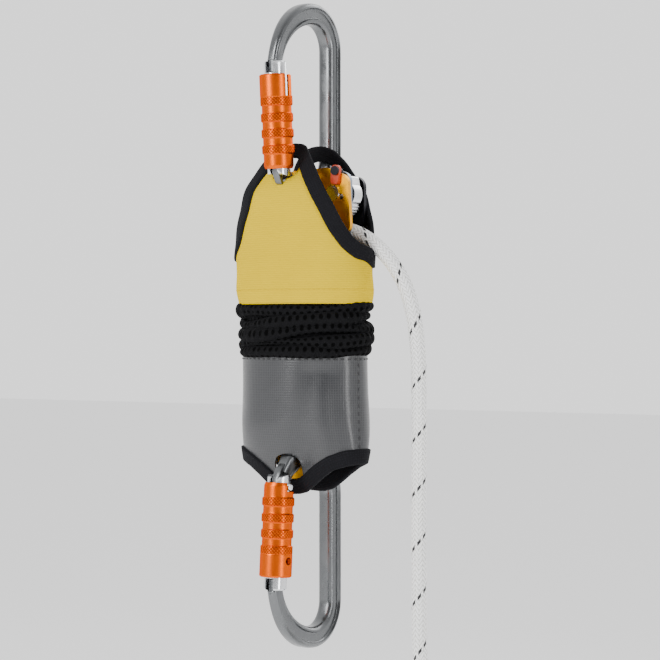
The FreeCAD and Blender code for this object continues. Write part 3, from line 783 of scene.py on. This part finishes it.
# Yellow cover: (z, half width, half depth), and (x, z) along the edge of one flap.
UPPER_STATIONS = [(-149.5, 38.6, 24.2), (-146, 40.4, 25.6), (-132, 40.2, 25.6), (-118, 40, 25.2),
                  (-100, 39.5, 25.4), (-88, 38.6, 25), (-76, 34, 18.2), (-64, 28, 11.5)]
UPPER_EDGE = [(0, -64.8), (5, -65.2), (9, -66.5), (13.5, -69.5), (19, -77), (24, -87),
              (28.6, -97), (32.5, -107), (36, -114.5), (38.8, -118.6), (40, -119.2)]


def upper_ripple(angle, z):
    """Soft unevenness of the sewn cloth."""
    return (0.35 * math.sin(3 * angle + z * 0.07) + 0.25 * math.sin(7 * angle - z * 0.11)
            + 0.2 * math.sin(z * 0.35 + 2 * angle)) * float(smoothstep(-150, -140, z))


def on_cloth(stations, ripple):
    """A function that moves a point at its own height out or in onto the cloth."""
    stations = smooth_stations(stations)

    def surface(point):
        angle = math.atan2(point[1] / DEEP, point[0] / UPPER_WIDE)
        a, b = profile(stations, point[2])
        swell = ripple(angle, point[2])
        angle = math.atan2(point[1] / (b + swell), point[0] / (a + swell))
        return np.array([(a + swell) * math.cos(angle), (b + swell) * math.sin(angle), point[2]])
    return surface


def flap_hole(centre_z, half_height, half_width, side):
    """Cutter for the carabiner's hole in the front (-1) or back (1) flap."""
    outline = []
    for k in range(32):
        a = 2 * math.pi * k / 32
        x = half_width * np.sign(math.cos(a)) * abs(math.cos(a)) ** 0.7
        z = centre_z + half_height * np.sign(math.sin(a)) * abs(math.sin(a)) ** 0.8
        outline.append((x, z))
    return prism("hole_cutter", outline, 3, 45, lambda u, v, h: (u, side * h, v))


def gate_room(obj):
    """Press the flap's top back, so that the lock sleeve can swing in as the gate opens."""
    for vertex in obj.data.vertices:
        x, y, z = vertex.co / MM
        if y < 0:
            near = 1 - float(smoothstep(4, 13, abs(x)))
            vertex.co.y += FLAP_GIVES * MM * near * float(smoothstep(-84, -71, z))


def upper_cover():
    """Yellow cover with its two holes, binding tape and hem."""
    def edge(angle):
        """The flap's outline, with a dip under the rope and fuller shoulders at the back."""
        under_rope = math.degrees((angle + math.pi) % (2 * math.pi) - math.pi) - 18
        height = edge_height(UPPER_EDGE, UPPER_WIDE, angle)
        height -= 4.6 * math.exp(-(under_rope / 15) ** 2)
        if math.sin(angle) > 0:
            shoulder = abs(UPPER_WIDE * math.cos(angle)) - 19
            height += 3.2 * math.exp(-(shoulder / 8) ** 2)
        return height

    cover, grid = cloth_tube("yellow_cover", UPPER_STATIONS, edge, -149.0, 288, 60, upper_ripple)
    solidify(cover, 1.1)
    for side in (-1, 1):
        cut(cover, flap_hole(-76.2, 7.8, 8.2, side))
    gate_room(cover)
    finish(cover, "yellow_fabric", "upper_block")
    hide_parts("upper_cover")
    surface = on_cloth(UPPER_STATIONS, upper_ripple)
    tape = binding_strip("yellow_cover_binding", grid, 7.2, 2.6, "upper_block", surface)
    gate_room(tape)
    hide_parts("upper_cover_binding")
    hem = np.array([surface((UPPER_WIDE * math.cos(a), DEEP * math.sin(a), -141.5))
                    for a in np.linspace(0, 2 * math.pi, 200)])
    fold_line(hem)
    return cover


def fold_line(points):
    """A fine sewn ridge along the hem."""
    normals = level_normals(points)
    piece = stitches("yellow_hem_stitch", points + normals * 0.1, normals, 2.6, (2.0, 0.22),
                     "upper_block")
    piece.data.materials.clear()
    piece.data.materials.append(FINISH["yellow_fabric"])
    return piece


# Grey cover: the same, pointing down.
LOWER_STATIONS = [(-249, 33, 12.5), (-241, 34.6, 14.8), (-232, 36.6, 17.6), (-224, 37.2, 20.5),
                  (-212, 36.6, 24.2), (-195, 36.2, 25), (-174, 36.2, 25)]
LOWER_EDGE = [(0, -248.2), (5, -248), (10, -246.8), (15, -243.5), (21, -238.6), (27, -234.6),
              (33, -232.4), (37, -231.8)]


def lower_ripple(angle, z):
    """Dents and soft slanting creases of the coated cloth."""
    dent = 0.8 * math.exp(-((z + 215) / 16) ** 2) * math.sin(2 * angle + 0.6)
    turn = math.degrees((angle + math.pi) % (2 * math.pi) - math.pi)
    held = float(smoothstep(-176, -186, z))
    crease = -1.6 * math.exp(-((turn + 66 - (z + 205) * 0.35) / 13) ** 2)
    crease -= 0.9 * math.exp(-((turn + 38 + (z + 205) * 0.12) / 9) ** 2)
    crease -= 1.3 * math.exp(-((turn - 110 + (z + 205) * 0.3) / 11) ** 2)
    return dent + held * crease + 0.25 * math.sin(5 * angle + z * 0.06)


def lower_cover():
    """Grey cover with its two holes, binding tape, top stitching and side seam."""
    def edge(angle):
        return edge_height(LOWER_EDGE, LOWER_WIDE, angle)

    cover, grid = cloth_tube("grey_cover", LOWER_STATIONS, edge, -174.5, 288, 60, lower_ripple)
    recalculate(cover)
    solidify(cover, 1.0)
    for side in (-1, 1):
        cut(cover, flap_hole(-236.5, 8.8, 7.7, side))
    finish(cover, "grey_coated_fabric", "lower_block")
    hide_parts("lower_cover")
    surface = on_cloth(LOWER_STATIONS, lower_ripple)
    tape = binding_strip("grey_cover_binding", grid, 7.2, 2.6, "lower_block", surface)
    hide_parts("lower_cover_binding")
    ring = np.array([surface((LOWER_WIDE * math.cos(a), DEEP * math.sin(a), -177.8))
                     for a in np.linspace(0, 2 * math.pi, 240)])
    top_stitch = stitches("grey_top_stitch", ring, level_normals(ring), 3.8, (2.2, 0.5),
                          "lower_block")
    seam_angle = math.radians(-8)
    across = (LOWER_WIDE * math.cos(seam_angle), DEEP * math.sin(seam_angle))
    seam = np.array([surface((*across, z)) for z in np.linspace(-179, -231, 80)])
    seam_stitch = stitches("grey_seam_stitch", seam, level_normals(seam), 4.2, (2.3, 0.5),
                           "lower_block")
    return cover


upper_cover()
lower_cover()


# ---- gathered mesh tube --------------------------------------------------------------------
def gathered_mesh():
    """Mesh cloth pushed down into rounded rolls that overlap and swoop round the tube."""
    top, bottom = -148.6, -176.4
    rolls, per_roll, columns = 5, 22, 300
    tube_a, tube_b = 36.3, 23.2
    rows = rolls * per_roll + 1
    grid = np.zeros((rows, columns, 3))
    pitch = (bottom - top) / rolls
    for j in range(columns):
        angle = 2 * math.pi * j / columns
        for i in range(rows):
            s = i / per_roll
            roll = min(int(s), rolls - 1)
            t = s - roll
            lean = angle + 0.55
            swoop = (2.1 * math.sin(lean) + 1.2 * math.sin(2 * lean + 1.3 * roll)
                     + 0.7 * math.sin(3 * lean - 2.1 * roll))
            edge = 1 - abs(2 * s / rolls - 1) ** 3
            size = 1 + 0.3 * math.sin(2 * lean + roll * 2.4) + 0.15 * math.sin(5 * lean + roll)
            turn = math.radians(-22 + 224 * t)
            z = top + pitch * (roll + 0.5) + 3.5 * size * math.cos(turn) + swoop * edge
            pucker = 0.28 * math.sin(angle * 37 + roll * 2.0 + 1.7 * t) * math.sin(math.pi * t)
            out = 3.6 * size * math.sin(turn) + pucker - 0.7
            z = max(min(z, -148.0), -177.2)
            grid[i, j] = ((tube_a + out) * math.cos(angle), (tube_b + out) * math.sin(angle), z)
    for _ in range(2):
        grid[1:-1] = (grid[:-2] + 2 * grid[1:-1] + grid[2:]) / 4
    ring = grid[per_roll // 2]
    lengths = travelled_along(np.vstack([ring, ring[:1]])) * MM
    down = travelled_along(grid[:, 0]) * MM
    obj = grid_object("mesh_tube", grid, lambda i, j: (lengths[j], down[i]), wrap=True)
    recalculate(obj)
    solidify(obj, 0.7)
    finish(obj, "black_mesh")
    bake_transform(obj)
    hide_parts("gathered_mesh")
    return obj


gathered_mesh()


# ---- carabiner frames ----------------------------------------------------------------------
SPINE_Y = 24.5              # from the ring's middle to the centreline of its long sides
# (y, z, radius) of the bar's centreline round the nose, the top corner and the hinge end
NOSE_ARC, TOP_ARC = (6.5, -29.45, 35.2), (6.5, -12.25, 18.0)
HINGE_ARC = (0.0, -68.25, SPINE_Y)


def arc_stations(arc, angles, taper):
    """Stations at angles in degrees round an arc. taper(angle) is how far the bar thins."""
    y, z, radius = arc
    stations = []
    for degrees in angles:
        a = math.radians(degrees)
        stations.append((y + radius * math.cos(a), z + radius * math.sin(a),
                         math.cos(a), math.sin(a), taper(degrees)))
    return stations


def ring_stations():
    """(y, z, outward y, outward z, taper) along the bar, from the nose to the hinge end."""
    stations = arc_stations(NOSE_ARC, np.linspace(171.5, 90, 60),
                            lambda d: float(smoothstep(98, 168, d)))
    stations += arc_stations(TOP_ARC, np.linspace(88, 0, 34), lambda d: 0.0)
    stations += [(SPINE_Y, z, 1.0, 0.0, 0.0) for z in np.linspace(-15, -66, 12)]
    stations += arc_stations(HINGE_ARC, np.linspace(0, -146, 52),
                             lambda d: 0.75 * float(smoothstep(-118, -146, d)))
    return stations


def bar_ring(station):
    """One section of the forged bar: two rounded flanges with a hollow web between them."""
    y, z, out_y, out_z, taper = station
    half_depth, half_thick = 5.75 - 1.75 * taper, 5.0 - 1.9 * taper
    hollow = 1.7 * (1 - taper) ** 0.6
    points = []
    for k in range(120):
        a = 2 * math.pi * k / 120
        u = half_depth * np.sign(math.cos(a)) * abs(math.cos(a)) ** 0.62
        v = half_thick * np.sign(math.sin(a)) * abs(math.sin(a)) ** 0.62
        web = 1 - float(smoothstep(0.40 * half_depth, 0.54 * half_depth, abs(u)))
        v -= np.sign(v) * min(abs(v), hollow) * web
        points.append((v, y + u * out_y, z + u * out_z))
    return points


def carabiner_frame(side):
    """The forged bar with its nose tongue and the tang that the gate's rivet goes through."""
    rows = [bar_ring(station) for station in ring_stations()]
    nose_cut, lean = -22.0, 0.07
    rows[0] = [(x, y, nose_cut + lean * (y + 28.3)) for x, y, z in rows[0]]
    tongue = [(-28.2 + 3.7 * math.cos(math.radians(a)), 3.7 * math.sin(math.radians(a)))
              for a in range(0, 360, 12)]
    tang = [(-28.2, -72.6), (-21.4, -72.6), (-20.6, -78.6), (-17.9, -83.6), (-19, -89.6),
            (-25.2, -86), (-28.2, -80.8)]
    pieces = [grid_object(side + "_frame", rows, wrap=True, caps=True)]
    pieces.append(prism("tongue", [(y, x) for y, x in tongue if abs(x) <= 1.95], -28.6, -21,
                        lambda y, x, h: (x, y + lean * (nose_cut - h), h)))
    pieces.append(prism("tang", tang, -1.95, 1.95, lambda y, z, h: (h, y, z)))
    bevel(pieces[2], 0.5)
    frame_mesh = join(pieces)
    recalculate(frame_mesh)
    if side == "lower":
        for vertex in frame_mesh.data.vertices:
            x, y, z = vertex.co
            vertex.co = (-x, y, -z - KIT_SPAN * MM)
    mark_sharp(frame_mesh, 42)
    finish(frame_mesh, "forged_grey", side + "_carabiner")
    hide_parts(side + "_carabiner_frame")


def bevel(obj, width):
    modifier = obj.modifiers.new("bevel", "BEVEL")
    modifier.width = width * MM
    modifier.segments = 3
    return apply_modifiers(obj)


def join(pieces):
    """Put all the meshes into the first object."""
    work = bmesh.new()
    for piece in pieces:
        work.from_mesh(piece.data)
    for piece in pieces[1:]:
        bpy.data.objects.remove(piece)
    work.to_mesh(pieces[0].data)
    work.free()
    return pieces[0]


def mark_sharp(obj, degrees=40):
    """Keep real corners crisp and everything else smooth."""
    work = bmesh.new()
    work.from_mesh(obj.data)
    for edge in work.edges:
        sharp = len(edge.link_faces) != 2 or edge.calc_face_angle(0) > math.radians(degrees)
        edge.smooth = not sharp
    for face in work.faces:
        face.smooth = True
    work.to_mesh(obj.data)
    work.free()


for which in ("upper", "lower"):
    carabiner_frame(which)


# ---- locking sleeves -----------------------------------------------------------------------
RIVET = (0.0, -SPINE_Y, -76.5)
GATE_LEAN = math.radians(4)
SLEEVE_END, SLEEVE_RIM = -2.0, 47.0
BAND_CENTRES = (7.9, 16.3, 24.5, 32.9)
BAND_HALF = 2.1


def on_gate(point, lower):
    """From the gate's own axes, rivet at the origin, to the row frame."""
    x, y, z = point
    c, s = math.cos(GATE_LEAN), math.sin(GATE_LEAN)
    x, y, z = x + RIVET[0], y * c - z * s + RIVET[1], y * s + z * c + RIVET[2]
    return (-x, y, -z - KIT_SPAN) if lower else (x, y, z)


def sleeve_radius(t):
    """Outer radius: smooth grooves between four bands, and a tapered hinge end."""
    radius = 7.75
    band = 0.0
    for centre in BAND_CENTRES:
        band = max(band, 1 - float(smoothstep(BAND_HALF - 0.35, BAND_HALF + 0.45, abs(t - centre))))
    rim = float(smoothstep(BAND_CENTRES[-1] + 1.0, BAND_CENTRES[-1] + 2.4, t))
    radius += 0.72 * max(band, rim)
    radius = min(radius, 7.1 + (t - SLEEVE_END) * 0.42)
    return radius - 0.7 * float(smoothstep(SLEEVE_RIM - 0.8, SLEEVE_RIM, t)) ** 2


def lock_sleeve(side):
    """Knurled tube round the gate, with a notch, an open side and a round hole."""
    lower = side == "lower"
    bore = 6.95
    columns = 96
    ts = list(np.arange(SLEEVE_END, SLEEVE_RIM, 0.3)) + [SLEEVE_RIM]
    angles = np.linspace(0, 2 * math.pi, columns, endpoint=False)
    section = [(bore, SLEEVE_END)] + [(sleeve_radius(t), t) for t in ts]
    section += [(bore, SLEEVE_RIM), (bore, SLEEVE_END)]
    rows = [[(r * math.cos(a), r * math.sin(a), t) for a in angles] for r, t in section]
    obj = grid_object(side + "_sleeve", rows,
                      lambda i, j: (j / columns, section[i][1] * MM), wrap=True)
    weld(obj)
    recalculate(obj)
    cut(obj, wedge(35.5, 60, 16, 35))       # notch in the rim
    cut(obj, wedge(-10, 2.6, 137, 63))      # open side of the hinge end
    hole = [(2.0 * math.cos(2 * math.pi * k / 20), 38.4 + 2.0 * math.sin(2 * math.pi * k / 20))
            for k in range(20)]
    cut(obj, prism("hole_cutter", hole, 5, 14, lambda u, v, h: (-h, u - 0.09 * h, v)))
    place_on_gate(obj, lower)
    mark_sharp(obj)
    finish(obj, "anodised_orange", side + "_lock_sleeve")
    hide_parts(side + "_lock_sleeve")
    return obj


def wedge(low, high, centre, half):
    """Cutter for a sector of the sleeve: its middle and half width are in degrees."""
    outline = [(0.0, 0.0)] + [(13 * math.cos(math.radians(a)), 13 * math.sin(math.radians(a)))
                              for a in np.linspace(centre - half, centre + half, 14)]
    return prism("wedge_cutter", outline, low, high, lambda u, v, h: (u, v, h))


def place_on_gate(obj, lower):
    """Move a mesh from the gate's own axes to the row frame."""
    for vertex in obj.data.vertices:
        point = on_gate(tuple(vertex.co / MM), lower)
        vertex.co = Vector(point) * MM


for which in ("upper", "lower"):
    lock_sleeve(which)


# ---- carried-over CAD nodes ----------------------------------------------------------------
def finish_cad_nodes():
    """Each shown CAD node gets its slot's material."""
    for part in frame["record"]["subparts"]:
        obj = frame["nodes"][part["node"]]
        slots = max(1, len(obj.material_slots))
        if not obj.material_slots:
            obj.data.materials.append(FINISH[part["material_slot"]])
        for index in range(slots):
            obj.material_slots[index].material = FINISH[part["material_slot"]]


finish_cad_nodes()
